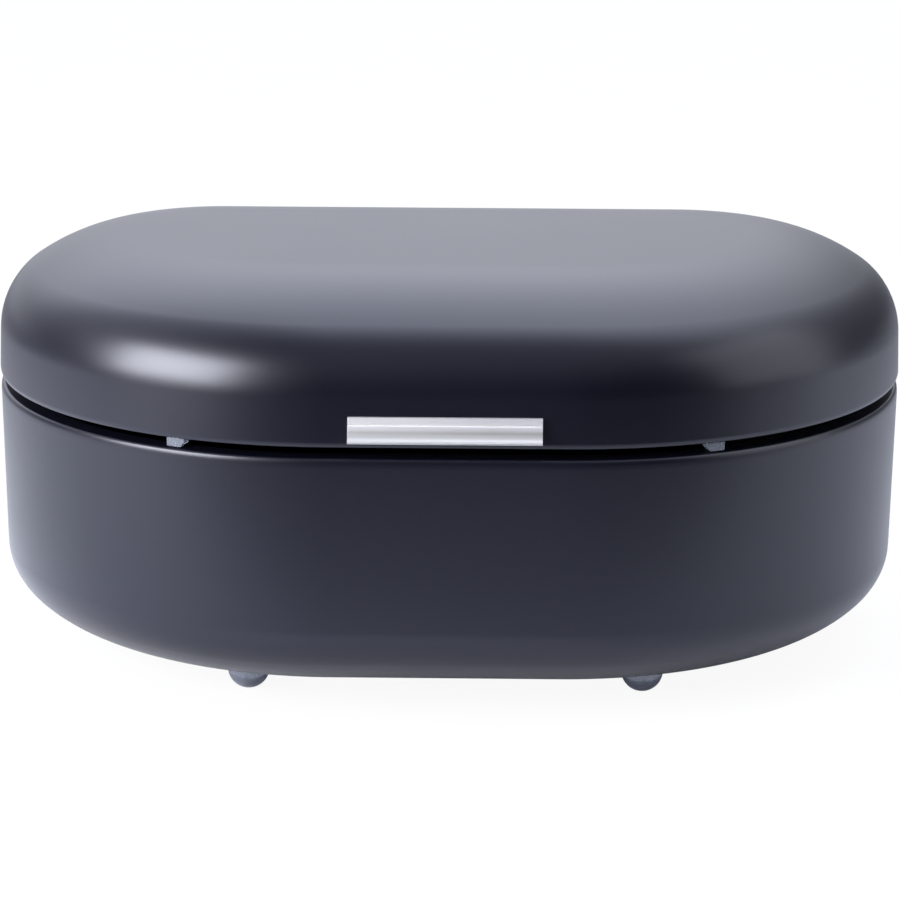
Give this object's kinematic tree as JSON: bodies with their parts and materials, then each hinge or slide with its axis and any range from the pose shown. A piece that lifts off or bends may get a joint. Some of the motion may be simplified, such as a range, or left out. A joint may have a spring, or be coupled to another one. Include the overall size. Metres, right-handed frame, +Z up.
{
  "type": "bread bin",
  "caption": "Oval steel bread bin with a domed lid hinged at the back, an aluminium pull, soft lid bumpers and domed rubber feet.",
  "frame": {"origin": "on the table, under the middle of the whole bin", "axes": "+X along the width, to the right of someone facing the pull; the front faces -Y; +Z up"},
  "size_m": [0.42, 0.2777, 0.1908],
  "materials": {
    "black_coat": "satin black powder coat with a cool tint",
    "pull_aluminium": "drawn aluminium, fine lines along its length",
    "clear_rubber": "translucent blue-grey silicone, smooth",
    "plated_steel": "zinc-plated steel"
  },
  "bodies": {
    "tub": {"base_tub": "black_coat", "foot_front_left": "clear_rubber", "foot_front_right": "clear_rubber", "foot_rear_left": "clear_rubber", "foot_rear_right": "clear_rubber", "hinge_left_tub_leaf": "plated_steel", "hinge_left_pin": "plated_steel", "hinge_left_tub_rivets": "plated_steel", "hinge_right_tub_leaf": "plated_steel", "hinge_right_pin": "plated_steel", "hinge_right_tub_rivets": "plated_steel"},
    "lid": {"lid_shell": "black_coat", "lid_pull": "pull_aluminium", "pull_screw_left": "plated_steel", "pull_screw_right": "plated_steel", "bumper_left": "clear_rubber", "bumper_right": "clear_rubber", "hinge_left_lid_leaf": "plated_steel", "hinge_left_lid_rivets": "plated_steel", "hinge_right_lid_leaf": "plated_steel", "hinge_right_lid_rivets": "plated_steel"}
  },
  "joints": [
    {"name": "lid_hinge", "type": "hinge", "parent": "tub", "child": "lid", "pos_m": [0, 0.13232, 0.12325], "axis": [-1, 0, 0], "range_deg": [0, 95]}
  ]
}
